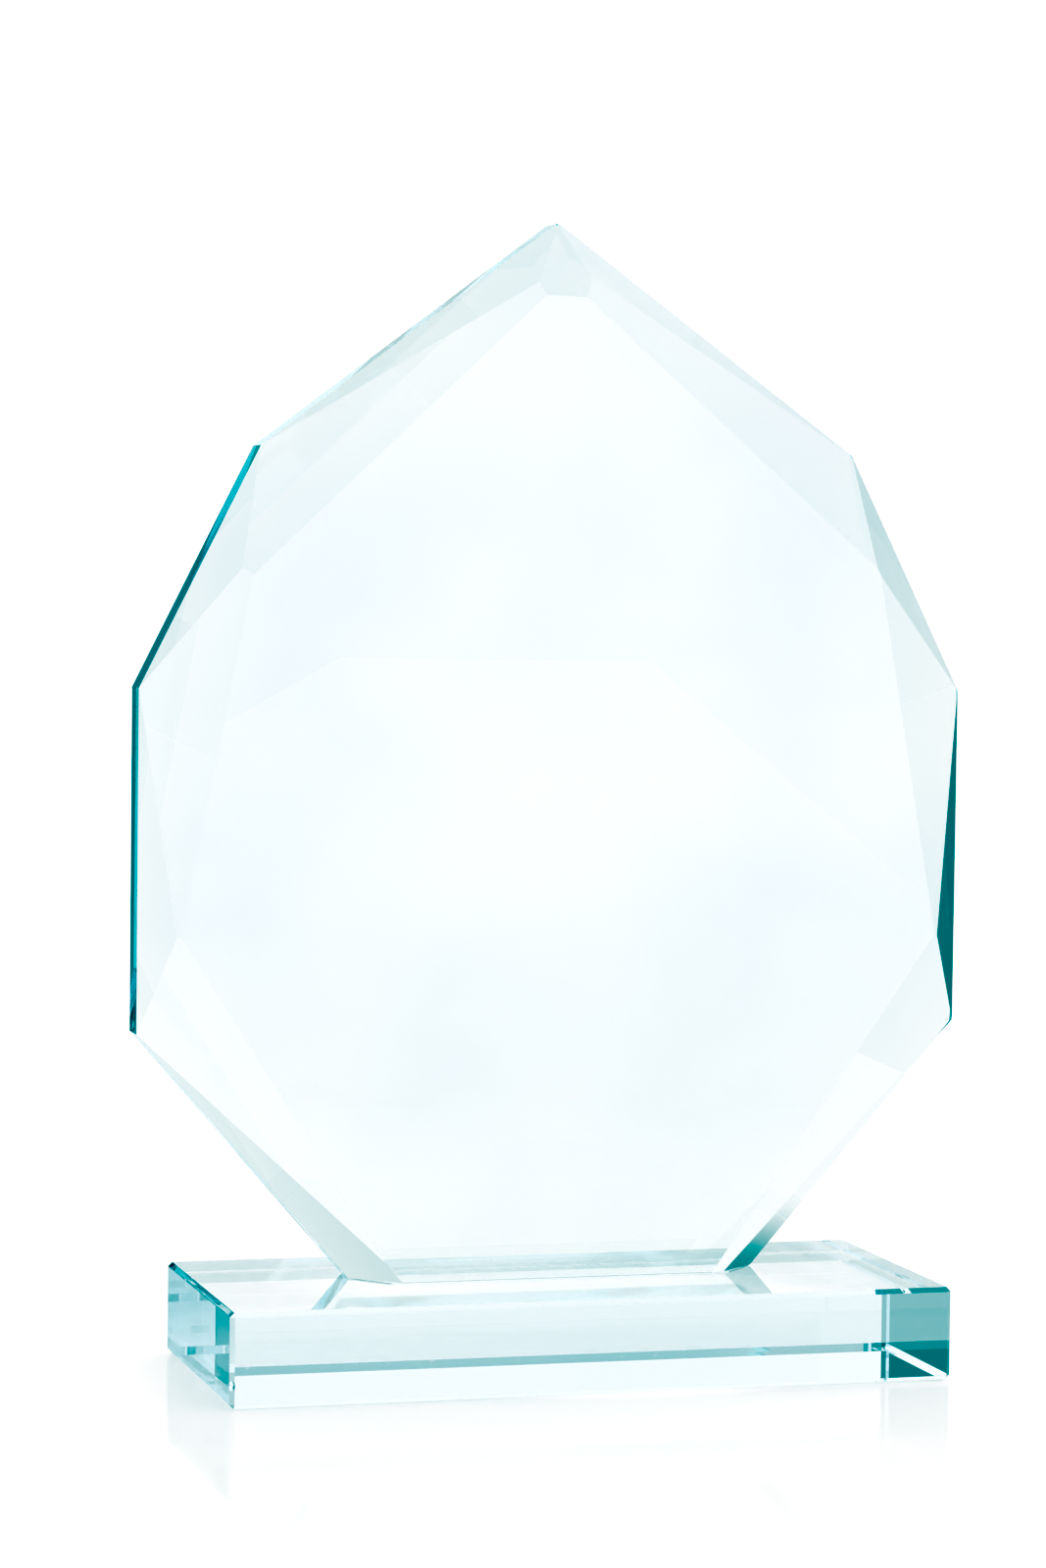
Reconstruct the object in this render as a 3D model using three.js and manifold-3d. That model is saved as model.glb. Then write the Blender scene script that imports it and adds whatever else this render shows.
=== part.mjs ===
// Presentation award of thick pale-green float glass: a faceted plate glued upright on a glass block.
// Millimetres, +Z up. The origin is on the surface it stands on, under the middle of the base, and
// the faceted front of the plate looks along -Y.
import * as THREE from "three";
import { mergeVertices } from "three/addons/utils/BufferGeometryUtils.js";
import Module from "manifold-3d";

const wasm = await Module();
wasm.setup();

// Base block: a rectangle of stock glass with its edges taken off by a narrow polished bevel.
const baseWidth = 150;
const baseDepth = 64;
const baseHeight = 19;
const baseArris = 0.9;

// Bond: clear adhesive, cured under the plate's foot. It stops a little short of the polished edges.
const filmThickness = 0.2;
const filmMargin = 0.4;

// Plate: outline sizes are half widths, and heights above the plate's own foot.
const plateThickness = 15.5;
const plateSetBack = 2.25; // middle of the plate's thickness behind the middle of the base
const rimWidth = 7.5; // square wall left behind the facets, all round
const footHalfWidth = 43.2;
const sideHalfWidth = 87.5;
const lowerSideHeight = 50.8;
const upperSideHeight = 120.5;
const shoulderHalfWidth = 63;
const shoulderHeight = 169.4;
const apexHeight = 215.8;
const apexOffset = -1.5; // the point is ground a little left of the middle
const apexFlat = 0.8; // width of the blunted tip

// The facets ground at the corners. Facing is the way each looks round the front, in degrees from
// +X towards +Z. Tilt is its lean back from the flat front face. They are ground by hand, so the two
// sides differ by a degree or so.
const apexFacet = { facing: 89, tilt: 27.5 };
const rightShoulderFacet = { facing: 49.5, tilt: 27 };
const rightUpperFacet = { facing: 10, tilt: 26.5 };
const rightLowerFacet = { facing: -34.5, tilt: 25.5 };
const leftLowerFacet = { facing: 212.5, tilt: 25 };
const leftUpperFacet = { facing: 169, tilt: 25.5 };
const leftShoulderFacet = { facing: 133.5, tilt: 25.5 };

// The steeper facets ground along the edges, between the corners.
const topEdgeTilt = 45;
const slopeEdgeTilt = 46.5;
const sideEdgeTilt = 49;
const lowerEdgeTilt = 48.5;

const glassColour = "#e3f2f3";
const filmColour = "#f2fbfb";
const polishRoughness = 0.03;
const filmRoughness = 0.1;

const plateFront = plateSetBack - plateThickness / 2;
const plateBack = plateSetBack + plateThickness / 2;
const rimFront = plateBack - rimWidth;

// The plate's corners, seen from the front, clockwise from the point. The foot has no facet.
const corners = [
  { x: apexOffset, height: apexHeight, facet: apexFacet, edgeTilt: topEdgeTilt },
  { x: shoulderHalfWidth, height: shoulderHeight, facet: rightShoulderFacet, edgeTilt: slopeEdgeTilt },
  { x: sideHalfWidth, height: upperSideHeight, facet: rightUpperFacet, edgeTilt: sideEdgeTilt },
  { x: sideHalfWidth, height: lowerSideHeight, facet: rightLowerFacet, edgeTilt: lowerEdgeTilt },
  { x: footHalfWidth, height: 0 },
  { x: -footHalfWidth, height: 0, edgeTilt: lowerEdgeTilt },
  { x: -sideHalfWidth, height: lowerSideHeight, facet: leftLowerFacet, edgeTilt: sideEdgeTilt },
  { x: -sideHalfWidth, height: upperSideHeight, facet: leftUpperFacet, edgeTilt: slopeEdgeTilt },
  { x: -shoulderHalfWidth, height: shoulderHeight, facet: leftShoulderFacet, edgeTilt: topEdgeTilt },
];

// The corner after corner i, going clockwise.
function next(i) {
  return corners[(i + 1) % corners.length];
}

function solidOf(geometry) {
  geometry.deleteAttribute("normal");
  geometry.deleteAttribute("uv");
  const merged = mergeVertices(geometry);
  return new wasm.Manifold(
    new wasm.Mesh({
      numProp: 3,
      vertProperties: merged.attributes.position.array,
      triVerts: merged.index.array,
    }),
  );
}

function geometryOf(solid) {
  const { vertProperties, triVerts } = solid.getMesh();
  const geometry = new THREE.BufferGeometry();
  geometry.setAttribute("position", new THREE.BufferAttribute(vertProperties, 3));
  geometry.setIndex(new THREE.BufferAttribute(triVerts, 1));
  const faceted = geometry.toNonIndexed();
  faceted.computeVertexNormals();
  return faceted;
}

// The glass beyond a ground facet: a block whose underside lies on the facet's plane, through the
// point (x, height) on the front border of the rim.
function groundAway(x, height, facing, tilt) {
  const reach = 2 * Math.max(apexHeight, 2 * sideHalfWidth); // past every edge of the plate
  const depth = 2 * plateThickness;
  const turn = THREE.MathUtils.degToRad(facing);
  const lean = THREE.MathUtils.degToRad(tilt);
  const outward = new THREE.Vector3(
    Math.sin(lean) * Math.cos(turn),
    -Math.cos(lean),
    Math.sin(lean) * Math.sin(turn),
  );
  const block = new THREE.BoxGeometry(reach, reach, depth);
  block.translate(0, 0, depth / 2);
  block.applyQuaternion(
    new THREE.Quaternion().setFromUnitVectors(new THREE.Vector3(0, 0, 1), outward),
  );
  block.translate(x, rimFront, height);
  return solidOf(block);
}

// Facing of the edge from one corner to the next: square to it, pointing out.
function edgeFacing(from, to) {
  return THREE.MathUtils.radToDeg(Math.atan2(from.x - to.x, to.height - from.height)) + 180;
}

function plateOutline() {
  const apex = corners[0];
  const rightSlope = (apexHeight - shoulderHeight) / (shoulderHalfWidth - apexOffset);
  const leftSlope = (apexHeight - shoulderHeight) / (shoulderHalfWidth + apexOffset);
  const drop = apexFlat / (1 / rightSlope + 1 / leftSlope);
  const outline = new THREE.Shape();
  outline.moveTo(apex.x - drop / leftSlope, apexHeight - drop);
  outline.lineTo(apex.x + drop / rightSlope, apexHeight - drop);
  for (const corner of corners.slice(1)) outline.lineTo(corner.x, corner.height);
  outline.closePath();
  return outline;
}

function plateGeometry() {
  const sheet = new THREE.ExtrudeGeometry(plateOutline(), {
    depth: plateThickness,
    bevelEnabled: false,
  });
  sheet.rotateX(Math.PI / 2);
  sheet.translate(0, plateBack, 0);
  let glass = solidOf(sheet);
  corners.forEach((corner, i) => {
    if (corner.facet) {
      const { facing, tilt } = corner.facet;
      glass = glass.subtract(groundAway(corner.x, corner.height, facing, tilt));
    }
    if (corner.edgeTilt) {
      const facing = edgeFacing(corner, next(i));
      glass = glass.subtract(groundAway(corner.x, corner.height, facing, corner.edgeTilt));
    }
  });
  return geometryOf(glass);
}

function filmGeometry() {
  const facetRun = (rimFront - plateFront) / Math.tan(THREE.MathUtils.degToRad(lowerEdgeTilt));
  const halfWidth = footHalfWidth - filmMargin;
  const frontHalfWidth = halfWidth - facetRun;
  const foot = new THREE.Shape([
    new THREE.Vector2(halfWidth, plateBack - filmMargin),
    new THREE.Vector2(-halfWidth, plateBack - filmMargin),
    new THREE.Vector2(-halfWidth, rimFront),
    new THREE.Vector2(-frontHalfWidth, plateFront + filmMargin),
    new THREE.Vector2(frontHalfWidth, plateFront + filmMargin),
    new THREE.Vector2(halfWidth, rimFront),
  ]);
  return new THREE.ExtrudeGeometry(foot, { depth: filmThickness, bevelEnabled: false });
}

// A rectangle with its upright edges bevelled, extruded with the same bevel at its top and bottom.
function baseGeometry() {
  const x = baseWidth / 2 - baseArris;
  const y = baseDepth / 2 - baseArris;
  const rectangle = new THREE.Shape();
  rectangle.moveTo(-x + baseArris, -y);
  rectangle.lineTo(x - baseArris, -y);
  rectangle.lineTo(x, -y + baseArris);
  rectangle.lineTo(x, y - baseArris);
  rectangle.lineTo(x - baseArris, y);
  rectangle.lineTo(-x + baseArris, y);
  rectangle.lineTo(-x, y - baseArris);
  rectangle.lineTo(-x, -y + baseArris);
  rectangle.closePath();
  const block = new THREE.ExtrudeGeometry(rectangle, {
    depth: baseHeight - 2 * baseArris,
    bevelThickness: baseArris,
    bevelSize: baseArris,
    bevelSegments: 1,
  });
  block.translate(0, 0, baseArris);
  return block;
}

function piece(name, geometry, colour, roughness) {
  const material = new THREE.MeshStandardMaterial({ color: colour, roughness, metalness: 0 });
  const mesh = new THREE.Mesh(geometry, material);
  mesh.name = name;
  return mesh;
}

const award = new THREE.Group();
award.add(piece("base_block", baseGeometry(), glassColour, polishRoughness));

const film = piece("bond_film", filmGeometry(), filmColour, filmRoughness);
film.position.z = baseHeight;
award.add(film);

const plate = piece("plate", plateGeometry(), glassColour, polishRoughness);
plate.position.z = baseHeight + filmThickness;
award.add(plate);

export default award;
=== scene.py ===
import math

import bmesh
import bpy
from mathutils import Euler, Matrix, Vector


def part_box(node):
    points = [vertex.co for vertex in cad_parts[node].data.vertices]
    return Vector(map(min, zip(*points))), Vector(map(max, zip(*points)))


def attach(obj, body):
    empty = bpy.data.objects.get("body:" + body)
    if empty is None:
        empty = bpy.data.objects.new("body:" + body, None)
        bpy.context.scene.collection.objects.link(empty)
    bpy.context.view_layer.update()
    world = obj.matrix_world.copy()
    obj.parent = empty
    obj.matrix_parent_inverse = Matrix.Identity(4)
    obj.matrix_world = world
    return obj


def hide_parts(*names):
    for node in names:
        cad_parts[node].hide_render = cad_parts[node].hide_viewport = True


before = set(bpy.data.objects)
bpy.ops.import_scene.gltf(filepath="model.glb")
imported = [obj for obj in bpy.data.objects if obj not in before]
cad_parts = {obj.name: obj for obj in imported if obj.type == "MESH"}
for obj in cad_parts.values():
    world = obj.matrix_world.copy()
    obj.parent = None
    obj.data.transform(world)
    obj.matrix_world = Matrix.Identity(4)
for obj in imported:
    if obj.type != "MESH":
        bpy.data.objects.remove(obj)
bpy.ops.object.select_all(action="DESELECT")
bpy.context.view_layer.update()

# ---------------------------------------------------------------------------
# Base block: a 150 x 64 x 19 mm rectangle sawn from thick float glass and polished all round.
# Its edges are taken off by a 0.9 mm bevel worked by hand, which has a few small chips from
# handling. It is the heavy foot that the plate is glued to.
BASE_ARRIS = 0.0009
GLASS_IOR = 1.60
BASE_TINT = (0.0, 0.45, 0.78, 1.0)
BASE_DENSITY = 1.5
BASE_CLEAN = (1.0, 1.0, 1.0, 1.0)
BASE_DUSTY = (0.965, 0.98, 0.98, 1.0)
WAVINESS = 0.00001
CHIP_ROUNDNESS = 3
CHIP_SMOOTHING = math.radians(30)

# Patterns in the glass, each as its scale and detail, with the part of its range that shows.
BLOOM = (13.0, 3.0)
BLOOM_RANGE = (0.38, 0.62)
WIPE_MARKS = (55.0, 4.0)
WIPE_RANGE = (0.45, 0.8)
WIPE_ROUGHNESS = (0.0, 0.005)
NICKS = (620.0, 2.0)
NICK_RANGE = (0.66, 0.74)
NICK_ROUGHNESS = (0.008, 0.25)
WAVES = (22.0, 1.0)


def block_at(name, low, high):
    bpy.ops.mesh.primitive_cube_add(size=1.0, location=(low + high) / 2, scale=high - low)
    block = bpy.context.active_object
    block.name = name
    bpy.ops.object.transform_apply(location=True, rotation=True, scale=True)
    return block


def mark_ground(block, width):
    """Marks the faces narrower than this as ground by hand, for the glass material to read."""
    shape = bmesh.from_edit_mesh(block.data)
    ground = shape.faces.layers.float.new("ground")
    for face in shape.faces:
        if 2 * face.calc_area() < width * face.calc_perimeter():
            face[ground] = 1.0
    bmesh.update_edit_mesh(block.data)


def scaled(nodes, links, value, low, high, to_low, to_high):
    """A number between low and high, carried over to the range to_low ... to_high."""
    step = nodes.new("ShaderNodeMapRange")
    step.inputs["From Min"].default_value = low
    step.inputs["From Max"].default_value = high
    step.inputs["To Min"].default_value = to_low
    step.inputs["To Max"].default_value = to_high
    links.new(value, step.inputs["Value"])
    return step.outputs["Result"]


def grain(nodes, links, place, scale, detail):
    noise = nodes.new("ShaderNodeTexNoise")
    noise.inputs["Scale"].default_value = scale
    noise.inputs["Detail"].default_value = detail
    links.new(place, noise.inputs["Vector"])
    return noise.outputs["Fac"]


def glass(name, tint, density, clean, dusty, waviness):
    """Clear tinted glass with a slightly wavy skin and a faint bloom of dust."""
    material = bpy.data.materials.new(name)
    material.use_nodes = True
    nodes = material.node_tree.nodes
    links = material.node_tree.links
    shader = nodes["Principled BSDF"]
    shader.inputs["Transmission Weight"].default_value = 1.0
    shader.inputs["IOR"].default_value = GLASS_IOR
    place = nodes.new("ShaderNodeTexCoord").outputs["Object"]

    bloom = nodes.new("ShaderNodeMix")
    bloom.data_type = "RGBA"
    bloom.inputs["A"].default_value = clean
    bloom.inputs["B"].default_value = dusty
    broad = grain(nodes, links, place, *BLOOM)
    links.new(scaled(nodes, links, broad, *BLOOM_RANGE, 0.0, 1.0), bloom.inputs["Factor"])
    links.new(bloom.outputs["Result"], shader.inputs["Base Color"])

    wave = nodes.new("ShaderNodeBump")
    wave.inputs["Distance"].default_value = waviness
    links.new(grain(nodes, links, place, *WAVES), wave.inputs["Height"])
    links.new(wave.outputs["Normal"], shader.inputs["Normal"])

    body = nodes.new("ShaderNodeVolumeAbsorption")
    body.inputs["Color"].default_value = tint
    body.inputs["Density"].default_value = density
    links.new(body.outputs["Volume"], nodes["Material Output"].inputs["Volume"])
    return material


def polish(material):
    """Faint wipe marks on the polished faces, and dull nicks in the ground ones."""
    nodes = material.node_tree.nodes
    links = material.node_tree.links
    place = nodes.new("ShaderNodeTexCoord").outputs["Object"]
    wipe_marks = grain(nodes, links, place, *WIPE_MARKS)
    nicks = grain(nodes, links, place, *NICKS)
    ground = nodes.new("ShaderNodeAttribute")
    ground.attribute_name = "ground"
    finish = nodes.new("ShaderNodeMix")
    links.new(ground.outputs["Fac"], finish.inputs["Factor"])
    links.new(scaled(nodes, links, wipe_marks, *WIPE_RANGE, *WIPE_ROUGHNESS), finish.inputs["A"])
    links.new(scaled(nodes, links, nicks, *NICK_RANGE, *NICK_ROUGHNESS), finish.inputs["B"])
    links.new(finish.outputs["Result"], nodes["Principled BSDF"].inputs["Roughness"])


def chip(block, place, size):
    """A small shell-shaped flake knocked off an edge."""
    bpy.ops.mesh.primitive_ico_sphere_add(
        subdivisions=CHIP_ROUNDNESS, radius=1.0, location=place, scale=size
    )
    flake = bpy.context.active_object
    bpy.ops.object.transform_apply(location=True, rotation=True, scale=True)
    bpy.ops.object.select_all(action="DESELECT")
    bpy.context.view_layer.objects.active = block
    block.select_set(True)
    cut = block.modifiers.new("chip", "BOOLEAN")
    cut.operation = "DIFFERENCE"
    cut.solver = "EXACT"
    cut.object = flake
    bpy.ops.object.modifier_apply(modifier=cut.name)
    bpy.data.objects.remove(flake, do_unlink=True)


base_low, base_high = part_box("base_block")

# Each chip's middle and half sizes: two on the left top edge, one on each left upright edge and
# one on the front top edge.
CHIPS = [
    ((base_low.x, 0.0100, base_high.z), (0.0007, 0.0011, 0.0007)),
    ((base_low.x, -0.0190, base_high.z), (0.0008, 0.0009, 0.0007)),
    ((base_low.x, base_high.y, 0.0090), (0.0008, 0.0008, 0.0009)),
    ((base_low.x, base_low.y, 0.0046), (0.0010, 0.0010, 0.0014)),
    ((0.0646, base_low.y, base_high.z), (0.0006, 0.0008, 0.0008)),
]

base = block_at("glass_base", base_low, base_high)
bpy.ops.object.mode_set(mode="EDIT")
bpy.ops.mesh.select_all(action="SELECT")
bpy.ops.mesh.bevel(offset=BASE_ARRIS, segments=1, affect="EDGES")
mark_ground(base, 2 * BASE_ARRIS)
bpy.ops.object.mode_set(mode="OBJECT")
for middle, half_size in CHIPS:
    chip(base, middle, half_size)
bpy.ops.object.shade_smooth_by_angle(angle=CHIP_SMOOTHING)
base_glass = glass(
    "base_float_glass", BASE_TINT, BASE_DENSITY, BASE_CLEAN, BASE_DUSTY, WAVINESS
)
polish(base_glass)
base.data.materials.append(base_glass)
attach(base, "root")
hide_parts("base_block")

# ---------------------------------------------------------------------------
# Plate: one 15.5 mm sheet of the same glass, sawn to a nine-cornered outline. Shallow facets are
# ground and polished across its corners and steeper ones along its edges, leaving a 7.5 mm square
# wall at the back, whose sharp back edges are eased. The foot is left flat for the glue.
PLATE_RIM = 0.0075
FOOT_HALF_WIDTH = 0.0432
SIDE_HALF_WIDTH = 0.0875
LOWER_SIDE = 0.0508
UPPER_SIDE = 0.1205
SHOULDER_HALF_WIDTH = 0.063
SHOULDER = 0.1694
APEX = 0.2158
APEX_OFFSET = -0.0015
SQUARE_CUT = 90.0
EASED_EDGE = 0.00025
TIP_FLAT = 0.0009
SHARP = math.radians(60)
PLATE_MERGE = 0.00002
PLATE_TINT = (0.0, 0.62, 0.82, 1.0)
PLATE_DENSITY = 2.6
PLATE_CLEAN = (0.975, 0.985, 0.98, 1.0)
PLATE_DUSTY = (0.91, 0.925, 0.95, 1.0)

plate_low, plate_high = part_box("plate")
rim_front = plate_high.y - PLATE_RIM


def cut_away(point, outward):
    bpy.ops.mesh.select_all(action="SELECT")
    bpy.ops.mesh.bisect(plane_co=point, plane_no=outward, use_fill=True, clear_outer=True)


def rim_point(x, height):
    return Vector((x, rim_front, plate_low.z + height))


def facing_out(facing, tilt):
    """The way a facet looks: round the front in degrees from +X, leaning back by its tilt."""
    turn = math.radians(facing)
    lean = math.radians(tilt)
    across = math.sin(lean)
    return Vector((across * math.cos(turn), -math.cos(lean), across * math.sin(turn)))


def square_to(start, end):
    """The facing of a side, in degrees, going clockwise from corner to corner."""
    along = end - start
    return math.degrees(math.atan2(-along.x, along.z)) + 180.0


def leave_out_foot(block):
    """Takes the edges of the glued foot out of the edges picked in edit mode."""
    shape = bmesh.from_edit_mesh(block.data)
    for edge in shape.edges:
        if max(corner.co.z for corner in edge.verts) < plate_low.z + EASED_EDGE:
            edge.select = False
    bmesh.update_edit_mesh(block.data)


apex = rim_point(APEX_OFFSET, APEX)
right_shoulder = rim_point(SHOULDER_HALF_WIDTH, SHOULDER)
right_upper = rim_point(SIDE_HALF_WIDTH, UPPER_SIDE)
right_lower = rim_point(SIDE_HALF_WIDTH, LOWER_SIDE)
right_foot = rim_point(FOOT_HALF_WIDTH, 0.0)
left_foot = rim_point(-FOOT_HALF_WIDTH, 0.0)
left_lower = rim_point(-SIDE_HALF_WIDTH, LOWER_SIDE)
left_upper = rim_point(-SIDE_HALF_WIDTH, UPPER_SIDE)
left_shoulder = rim_point(-SHOULDER_HALF_WIDTH, SHOULDER)

# The two upright sides are the sides of the sheet itself, so they need no sawing.
SAWN_SIDES = [
    (apex, right_shoulder),
    (right_shoulder, right_upper),
    (right_lower, right_foot),
    (left_foot, left_lower),
    (left_upper, left_shoulder),
    (left_shoulder, apex),
]
EDGE_FACETS = [
    (apex, right_shoulder, 45.0),
    (right_shoulder, right_upper, 46.5),
    (right_upper, right_lower, 49.0),
    (right_lower, right_foot, 48.5),
    (left_foot, left_lower, 48.5),
    (left_lower, left_upper, 49.0),
    (left_upper, left_shoulder, 46.5),
    (left_shoulder, apex, 45.0),
]
CORNER_FACETS = [
    (apex, 89.0, 27.5),
    (right_shoulder, 49.5, 27.0),
    (right_upper, 10.0, 26.5),
    (right_lower, -34.5, 25.5),
    (left_lower, 212.5, 25.0),
    (left_upper, 169.0, 25.5),
    (left_shoulder, 133.5, 25.5),
]

plate = block_at("glass_plate", plate_low, plate_high)
bpy.ops.object.mode_set(mode="EDIT")
for start, end in SAWN_SIDES:
    cut_away(start, facing_out(square_to(start, end), SQUARE_CUT))
for start, end, tilt in EDGE_FACETS:
    cut_away(start, facing_out(square_to(start, end), tilt))
for corner, facing, tilt in CORNER_FACETS:
    cut_away(corner, facing_out(facing, tilt))
bpy.ops.mesh.select_all(action="SELECT")
bpy.ops.mesh.remove_doubles(threshold=PLATE_MERGE)
bpy.ops.mesh.normals_make_consistent(inside=False)
bpy.ops.mesh.select_all(action="DESELECT")
bpy.ops.mesh.select_mode(type="EDGE")
bpy.ops.mesh.edges_select_sharp(sharpness=SHARP)
leave_out_foot(plate)
bpy.ops.mesh.bevel(offset=EASED_EDGE, segments=1, affect="EDGES")
mark_ground(plate, TIP_FLAT)
bpy.ops.object.mode_set(mode="OBJECT")
plate_glass = glass(
    "plate_float_glass", PLATE_TINT, PLATE_DENSITY, PLATE_CLEAN, PLATE_DUSTY, WAVINESS
)
polish(plate_glass)
plate.data.materials.append(plate_glass)
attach(plate, "root")
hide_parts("plate")

# ---------------------------------------------------------------------------
# Bond: a film of clear adhesive, run in under the plate's foot and cured by lamp. It has the
# foot's own outline, stops just short of the polished edges and wets both glasses, so it is let
# 0.02 mm into each. It dried a little streaky, with a few pinhead bubbles.
FILM_LET_IN = Vector((0.0, 0.0, 0.00002))
FILM_CORNER = math.radians(48.5)
FILM_MERGE = 0.000005
FILM_WAVINESS = 0.000004
STREAK_STRETCH = (14.0, 160.0, 160.0)
STREAKS = (1.0, 3.0)
STREAK_RANGE = (0.5, 0.75)
STREAK_ROUGHNESS = (0.0, 0.12)
BUBBLE_SPACING = 260.0
BUBBLE_RANGE = (0.05, 0.08)
BUBBLE_ROUGHNESS = (0.4, 0.0)


def arithmetic(nodes, links, operation, first, second):
    """One sum on two values, each a plain number or the output of a node."""
    node = nodes.new("ShaderNodeMath")
    node.operation = operation
    for value, socket in ((first, node.inputs[0]), (second, node.inputs[1])):
        if isinstance(value, float):
            socket.default_value = value
        else:
            links.new(value, socket)
    return node.outputs["Value"]


film_low, film_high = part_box("bond_film")
film = block_at("clear_bond", film_low - FILM_LET_IN, film_high + FILM_LET_IN)
bpy.ops.object.mode_set(mode="EDIT")
for side in (film_low.x, film_high.x):
    way_out = math.copysign(math.sin(FILM_CORNER), side)
    cut_away(Vector((side, rim_front, film_low.z)), Vector((way_out, -math.cos(FILM_CORNER), 0.0)))
bpy.ops.mesh.select_all(action="SELECT")
bpy.ops.mesh.remove_doubles(threshold=FILM_MERGE)
bpy.ops.mesh.normals_make_consistent(inside=False)
bpy.ops.object.mode_set(mode="OBJECT")

adhesive = glass(
    "clear_adhesive", PLATE_TINT, PLATE_DENSITY, BASE_CLEAN, BASE_DUSTY, FILM_WAVINESS
)
nodes = adhesive.node_tree.nodes
links = adhesive.node_tree.links
place = nodes.new("ShaderNodeTexCoord").outputs["Object"]
stretch = nodes.new("ShaderNodeMapping")
stretch.inputs["Scale"].default_value = STREAK_STRETCH
links.new(place, stretch.inputs["Vector"])
streaks = grain(nodes, links, stretch.outputs["Vector"], *STREAKS)
bubbles = nodes.new("ShaderNodeTexVoronoi")
bubbles.inputs["Scale"].default_value = BUBBLE_SPACING
links.new(place, bubbles.inputs["Vector"])
dullness = arithmetic(
    nodes,
    links,
    "MAXIMUM",
    scaled(nodes, links, streaks, *STREAK_RANGE, *STREAK_ROUGHNESS),
    scaled(nodes, links, bubbles.outputs["Distance"], *BUBBLE_RANGE, *BUBBLE_ROUGHNESS),
)
links.new(dullness, nodes["Principled BSDF"].inputs["Roughness"])
film.data.materials.append(adhesive)
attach(film, "root")
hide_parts("bond_film")

# ---------------------------------------------------------------------------
# Studio floor: a narrow sheet of white lacquered acrylic on a table; a painted glow keeps it plain
# white.
# Seen through the glass it is glossier behind the award, where painted shade dims the glow; seen
# straight it is the same all over. A painted pool of light makes it glow a little more right under
# the award.
CAMERA_TURN = 15.78
SHEET_GAP = 0.0002
SHEET_LEFT = -0.30
SHEET_RIGHT = 0.19
SHEET_FRONT = -1.60
SHEET_BACK = 6.0
SHEET_WHITE = (0.92, 0.92, 0.92, 1.0)
LACQUER = 0.5
LACQUER_ROUGHNESS = 0.08
RUBBED = (30.0, 3.0)
RUBBED_RANGE = (0.3, 0.7)
RUBBED_ROUGHNESS = (0.064, 0.096)
GLOSS_GAINED = (0.0, 0.06)
GLOSS_LOST = (0.25, 0.45)
GLOSS_FRONT = 0.3
# The floor's glow is painted light: these are its strengths in front, behind, far off and under the
# award.
PAINTED_GLOW_FRONT = 0.45
# Behind the award the glow is dimmed as painted shade.
PAINTED_SHADE_BEHIND = 0.18
PAINTED_GLOW_FAR = 0.345
# A painted pool of light under the award: its strength, then its reach and shape.
PAINTED_POOL_STRENGTH = 0.35
PAINTED_POOL_REACH = (0.022, 0.036)
PAINTED_POOL_SHAPE = (0.62, 1.0, 1.0)

bpy.ops.mesh.primitive_plane_add(
    size=1.0,
    location=((SHEET_RIGHT + SHEET_LEFT) / 2, (SHEET_BACK + SHEET_FRONT) / 2, -SHEET_GAP),
)
sheet = bpy.context.active_object
sheet.name = "acrylic_sheet"
sheet.scale = (SHEET_RIGHT - SHEET_LEFT, SHEET_BACK - SHEET_FRONT, 1.0)
bpy.ops.object.transform_apply(location=True, rotation=True, scale=True)
sheet.rotation_euler.z = math.radians(-CAMERA_TURN)
acrylic = bpy.data.materials.new("white_acrylic")
acrylic.use_nodes = True
nodes = acrylic.node_tree.nodes
links = acrylic.node_tree.links
place = nodes.new("ShaderNodeTexCoord").outputs["Object"]

# The sheet's own Y runs away from the camera, past the award. Rays straight from the camera find
# the front kind of surface all along it.
along = nodes.new("ShaderNodeSeparateXYZ")
links.new(place, along.inputs["Vector"])
squeezed = nodes.new("ShaderNodeMapping")
squeezed.inputs["Scale"].default_value = PAINTED_POOL_SHAPE
links.new(place, squeezed.inputs["Vector"])
from_middle = nodes.new("ShaderNodeVectorMath")
from_middle.operation = "LENGTH"
links.new(squeezed.outputs["Vector"], from_middle.inputs[0])
straight = nodes.new("ShaderNodeLightPath").outputs["Is Camera Ray"]
through_glass = arithmetic(nodes, links, "SUBTRACT", 1.0, straight)
behind = arithmetic(
    nodes,
    links,
    "MULTIPLY",
    scaled(nodes, links, along.outputs["Y"], *GLOSS_GAINED, 0.0, 1.0),
    through_glass,
)
distant = arithmetic(
    nodes,
    links,
    "MULTIPLY",
    scaled(nodes, links, along.outputs["Y"], *GLOSS_LOST, 0.0, 1.0),
    through_glass,
)
glossy = arithmetic(nodes, links, "SUBTRACT", behind, distant)

gloss = nodes["Principled BSDF"]
gloss.inputs["Base Color"].default_value = SHEET_WHITE
gloss.inputs["Coat Weight"].default_value = LACQUER
gloss.inputs["Coat Roughness"].default_value = LACQUER_ROUGHNESS
rub = grain(nodes, links, place, *RUBBED)
links.new(
    scaled(nodes, links, rub, *RUBBED_RANGE, *RUBBED_ROUGHNESS), gloss.inputs["Roughness"]
)
matt = nodes.new("ShaderNodeBsdfDiffuse")
matt.inputs["Color"].default_value = SHEET_WHITE
surface = nodes.new("ShaderNodeMixShader")
links.new(scaled(nodes, links, glossy, 0.0, 1.0, GLOSS_FRONT, 1.0), surface.inputs["Fac"])
links.new(matt.outputs["BSDF"], surface.inputs[1])
links.new(gloss.outputs["BSDF"], surface.inputs[2])

# Seen through the glass, the glow falls from its front value to painted shade just behind the
# award.
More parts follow.
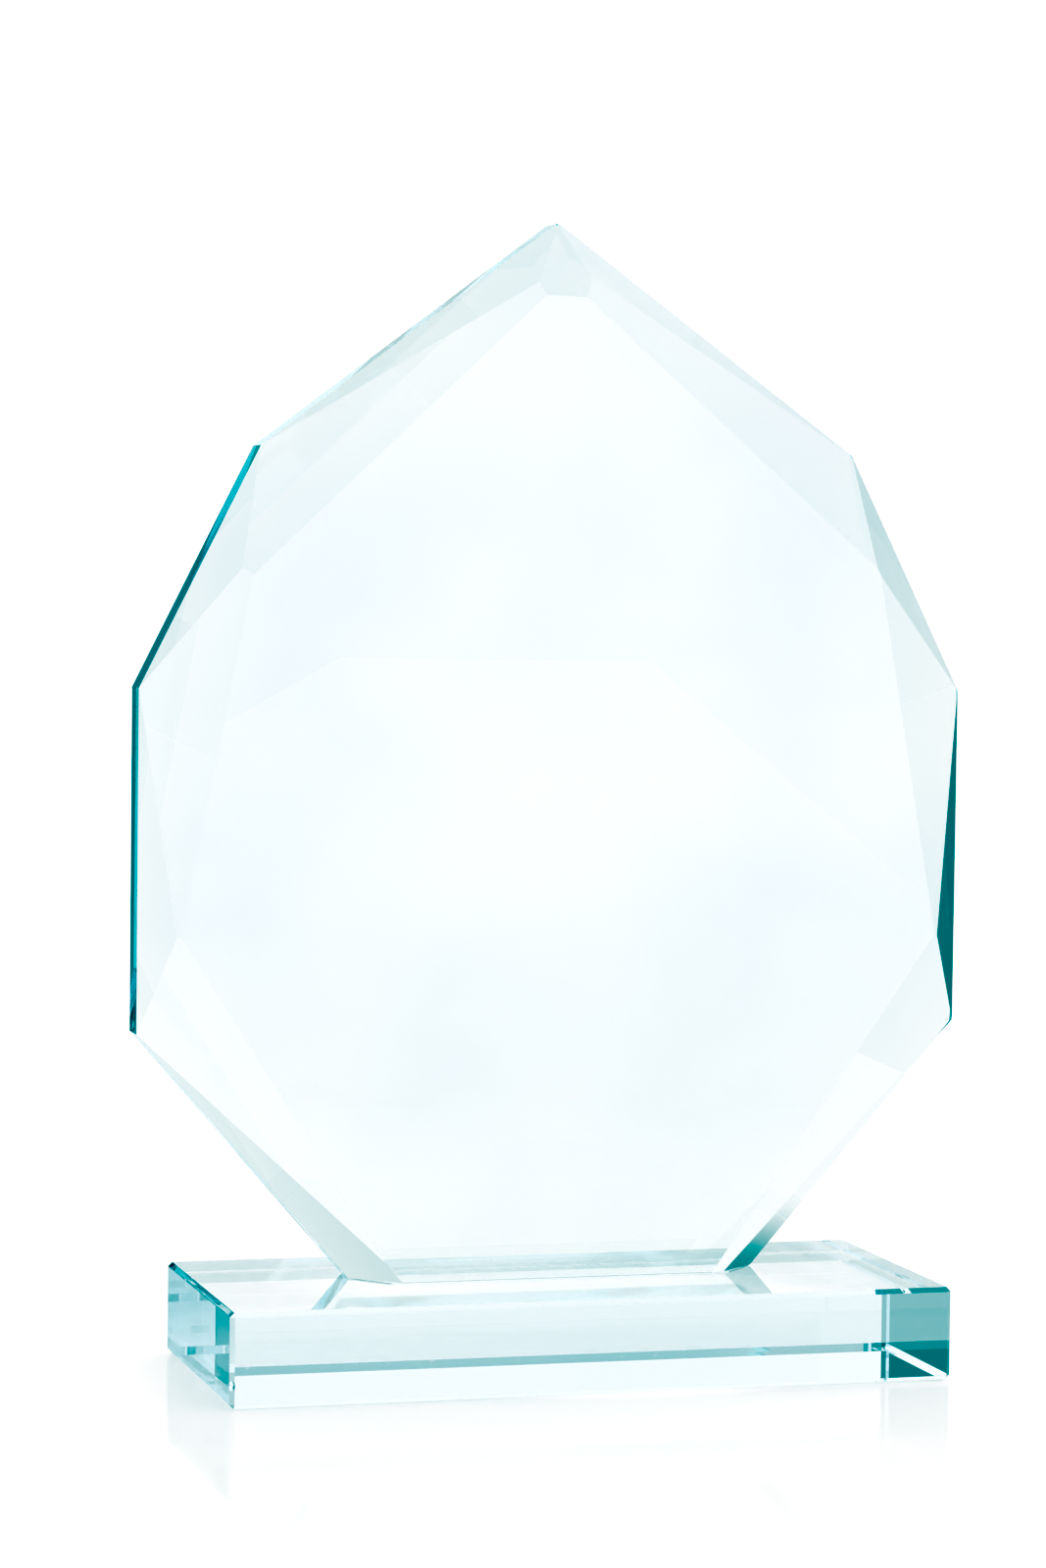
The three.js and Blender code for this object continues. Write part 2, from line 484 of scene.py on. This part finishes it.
near_glow_with_painted_shade = scaled(nodes, links, behind, 0.0, 1.0, PAINTED_GLOW_FRONT, PAINTED_SHADE_BEHIND)
far_painted_glow = scaled(nodes, links, distant, 0.0, 1.0, 0.0, PAINTED_GLOW_FAR - PAINTED_SHADE_BEHIND)
# Painted pool of light: the glow rises towards the middle, under the award.
painted_pool = scaled(
    nodes, links, from_middle.outputs["Value"], *PAINTED_POOL_REACH, PAINTED_POOL_STRENGTH, 0.0
)
strength = arithmetic(nodes, links, "ADD", near_glow_with_painted_shade, far_painted_glow)
strength = arithmetic(nodes, links, "ADD", strength, painted_pool)
# The emission is a painted glow: the floor gives off light of its own, though it is no lamp.
painted_glow = nodes.new("ShaderNodeEmission")
links.new(strength, painted_glow.inputs["Strength"])
surface_and_painted_glow = nodes.new("ShaderNodeAddShader")
links.new(surface.outputs["Shader"], surface_and_painted_glow.inputs[0])
links.new(painted_glow.outputs["Emission"], surface_and_painted_glow.inputs[1])
links.new(surface_and_painted_glow.outputs["Shader"], nodes["Material Output"].inputs["Surface"])
sheet.data.materials.append(acrylic)

# ---------------------------------------------------------------------------
# Studio light: white paper hangs behind the award, under a grey ceiling. Left of it are a dark
# opening and a dark ceiling, right of it is a dark side wall, and mottled grey cloth and a black
# board hang in front. The clear glass gets all its dark lines from these.
PAPER_BRIGHTNESS = 1.05
PAPER_SHADES = (0.94, 1.05)
PAPER_HEIGHTS = (-0.25, 0.18)
CLOTH_DARK = (0.45, 0.46, 0.47, 1.0)
CLOTH_LIGHT = (1.0, 1.0, 1.0, 1.0)
CLOTH_FOLDS = (4.0, 2.0)
CLOTH_RANGE = (0.4, 0.6)
CEILING = 0.6
DARK_CEILING = 0.20
OPENING = 0.10
SIDE_WALL = 0.17
SIDE_WALL_LEAN = -0.49
BLACK_BOARD = 0.08

# Where each of them is: its sides as degrees from +Y towards +X, its heights as degrees above
# level, then how soft its two sides and its two heights are, in degrees.
CLOTH_PLACE = ((130.0, 250.0), (8.0, 89.0), (12.0, 12.0), (5.0, 1.0))
CEILING_PLACE = ((-8.0, 170.0), (58.0, 89.0), (8.0, 8.0), (4.0, 1.0))
DARK_CEILING_PLACE = ((-140.0, -8.0), (30.0, 89.0), (12.0, 5.0), (4.0, 1.0))
OPENING_PLACE = ((-75.0, -6.0), (-12.0, 18.0), (8.0, 1.0), (3.0, 0.5))
SIDE_WALL_PLACE = ((49.3, 132.0), (-40.0, 24.0), (8.0, 3.0), (8.0, 5.0))
BLACK_BOARD_PLACE = ((156.0, 180.0), (5.0, 28.0), (3.0, 3.0), (2.0, 6.0))

scene = bpy.context.scene
studio = bpy.data.worlds.new("studio")
studio.use_nodes = True
scene.world = studio
nodes = studio.node_tree.nodes
links = studio.node_tree.links
background = nodes["Background"]
background.inputs["Strength"].default_value = PAPER_BRIGHTNESS
look = nodes.new("ShaderNodeTexCoord").outputs["Generated"]
heading = nodes.new("ShaderNodeSeparateXYZ")
links.new(look, heading.inputs["Vector"])


def smooth_step(value, low, high):
    step = nodes.new("ShaderNodeMapRange")
    step.interpolation_type = "SMOOTHSTEP"
    step.inputs["From Min"].default_value = low
    step.inputs["From Max"].default_value = high
    links.new(value, step.inputs["Value"])
    return step.outputs["Result"]


def right_of(azimuth, soft, lean=0.0):
    """1 for directions clockwise of this azimuth, 0 for the rest of that half of the room."""
    turn = math.radians(azimuth)
    blur = math.sin(math.radians(soft))
    dot = nodes.new("ShaderNodeVectorMath")
    dot.operation = "DOT_PRODUCT"
    dot.inputs[1].default_value = (math.cos(turn), -math.sin(turn), -lean)
    links.new(look, dot.inputs[0])
    return smooth_step(dot.outputs["Value"], -blur, blur)


def above(elevation, soft):
    low = math.sin(math.radians(elevation - soft))
    high = math.sin(math.radians(elevation + soft))
    return smooth_step(heading.outputs["Z"], low, high)


def patch(sides, heights, side_soft, height_soft, lean=0.0):
    """A patch of the room between two azimuths and two elevations, with soft borders."""
    across = arithmetic(
        nodes,
        links,
        "MULTIPLY",
        right_of(sides[0], side_soft[0], lean),
        arithmetic(nodes, links, "SUBTRACT", 1.0, right_of(sides[1], side_soft[1])),
    )
    upright = arithmetic(
        nodes,
        links,
        "MULTIPLY",
        above(heights[0], height_soft[0]),
        arithmetic(nodes, links, "SUBTRACT", 1.0, above(heights[1], height_soft[1])),
    )
    return arithmetic(nodes, links, "MULTIPLY", across, upright)


def painted(under, colour, mask):
    """One colour laid over another where the mask is 1."""
    layer = nodes.new("ShaderNodeMix")
    layer.data_type = "RGBA"
    links.new(mask, layer.inputs["Factor"])
    links.new(under, layer.inputs["A"])
    if isinstance(colour, tuple):
        layer.inputs["B"].default_value = colour
    else:
        links.new(colour, layer.inputs["B"])
    return layer.outputs["Result"]


def grey(value):
    return (value, value, value, 1.0)


cloth = nodes.new("ShaderNodeMix")
cloth.data_type = "RGBA"
cloth.inputs["A"].default_value = CLOTH_DARK
cloth.inputs["B"].default_value = CLOTH_LIGHT
folds = grain(nodes, links, look, *CLOTH_FOLDS)
links.new(scaled(nodes, links, folds, *CLOTH_RANGE, 0.0, 1.0), cloth.inputs["Factor"])

room = scaled(nodes, links, heading.outputs["Z"], *PAPER_HEIGHTS, *PAPER_SHADES)
room = painted(room, cloth.outputs["Result"], patch(*CLOTH_PLACE))
room = painted(room, grey(CEILING), patch(*CEILING_PLACE))
room = painted(room, grey(DARK_CEILING), patch(*DARK_CEILING_PLACE))
room = painted(room, grey(OPENING), patch(*OPENING_PLACE))
room = painted(room, grey(SIDE_WALL), patch(*SIDE_WALL_PLACE, SIDE_WALL_LEAN))
room = painted(room, grey(BLACK_BOARD), patch(*BLACK_BOARD_PLACE))

# Seen straight, the whole room is as white as the paper.
seen_straight = nodes.new("ShaderNodeLightPath").outputs["Is Camera Ray"]
links.new(painted(room, grey(1.0), seen_straight), background.inputs["Color"])

# ---------------------------------------------------------------------------
# Camera: a long lens a little to the left of the award, a little above the middle of the plate and
# tipped slightly down. The darkest tones are graded to teal.
LENS = 100.0
SENSOR = 36.0
STAND = (-0.2502, -0.8565, 0.16745)
PITCH = -3.03
ROLL = 0.69
TEAL_DARKS = (0.36, 0.02, 0.0)
LIGHT_BOUNCES = 32

lens = bpy.data.cameras.new("camera")
lens.lens = LENS
lens.sensor_width = SENSOR
camera = bpy.data.objects.new("camera", lens)
scene.collection.objects.link(camera)
camera.location = STAND
aim = Euler((math.radians(90.0 + PITCH), 0.0, math.radians(-CAMERA_TURN))).to_matrix()
camera.rotation_euler = (aim @ Euler((0.0, 0.0, math.radians(ROLL))).to_matrix()).to_euler()
scene.camera = camera

scene.view_settings.view_transform = "Standard"
scene.view_settings.use_curve_mapping = True
scene.view_settings.curve_mapping.black_level = TEAL_DARKS
scene.cycles.max_bounces = LIGHT_BOUNCES
scene.cycles.transmission_bounces = LIGHT_BOUNCES
scene.cycles.glossy_bounces = LIGHT_BOUNCES
scene.cycles.transparent_max_bounces = LIGHT_BOUNCES
